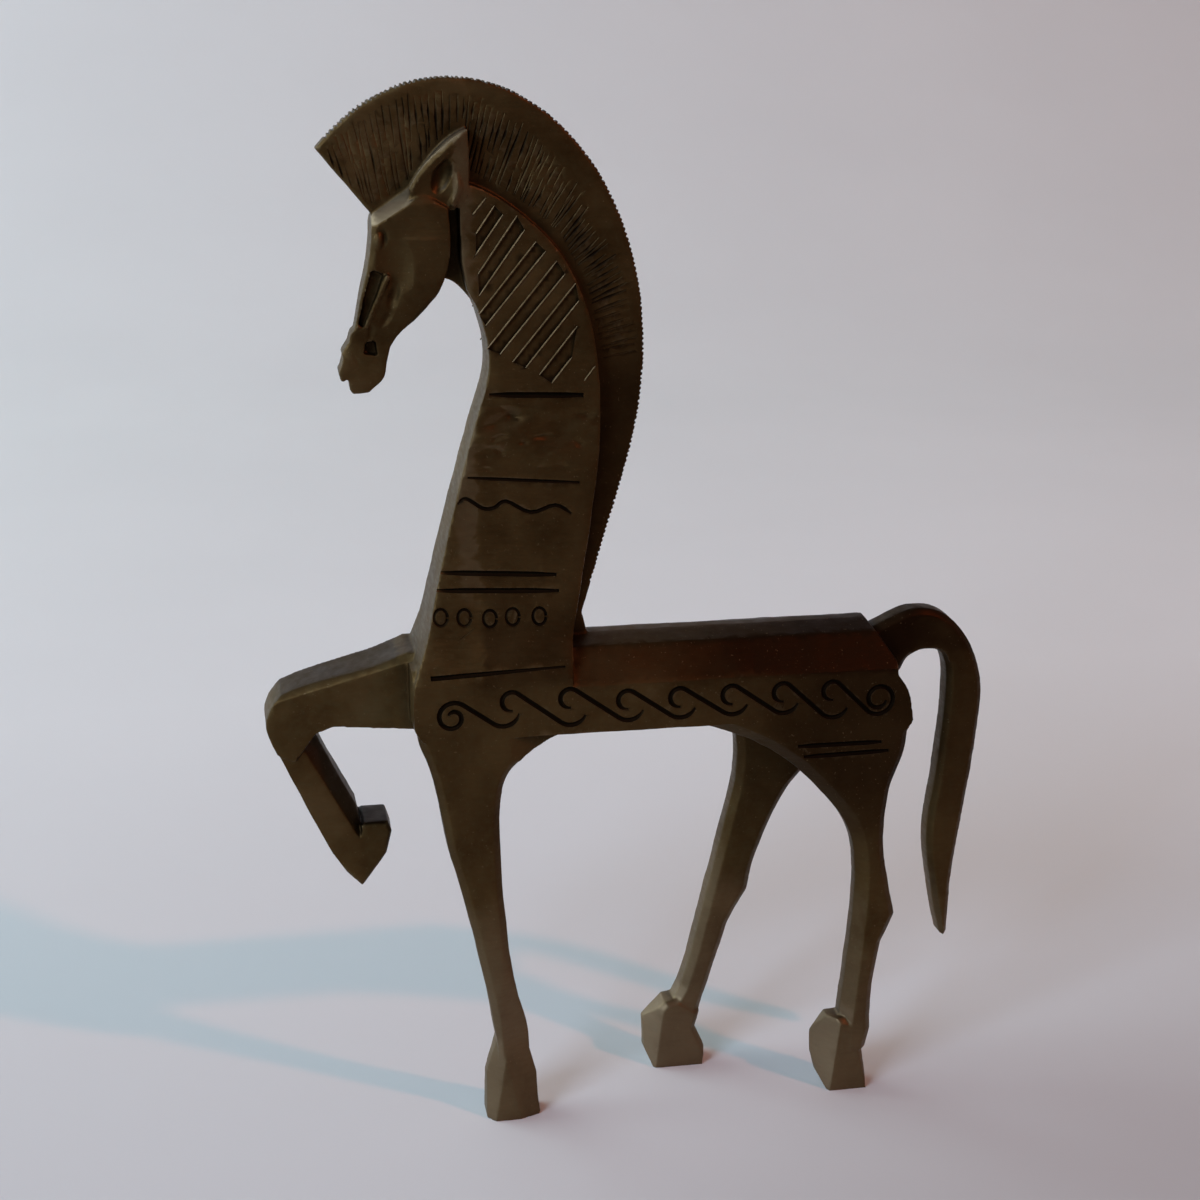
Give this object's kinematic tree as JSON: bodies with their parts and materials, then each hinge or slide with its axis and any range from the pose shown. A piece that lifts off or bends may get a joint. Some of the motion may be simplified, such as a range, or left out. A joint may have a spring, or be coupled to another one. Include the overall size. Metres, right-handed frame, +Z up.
{
  "type": "cast horse figurine",
  "caption": "Cast bronze horse in an angular geometric style, standing with one foreleg raised, tall crested mane and engraved bands.",
  "frame": {"origin": "centre of the bounding box, on the surface that the hooves stand on", "axes": "+Z up, the horse faces -X, its left side faces -Y"},
  "size_m": [0.1122, 0.018, 0.1603],
  "materials": {
    "bronze": "dark brown patinated cast bronze, satin"
  },
  "bodies": {
    "root": {"horse": "bronze"}
  },
  "joints": []
}
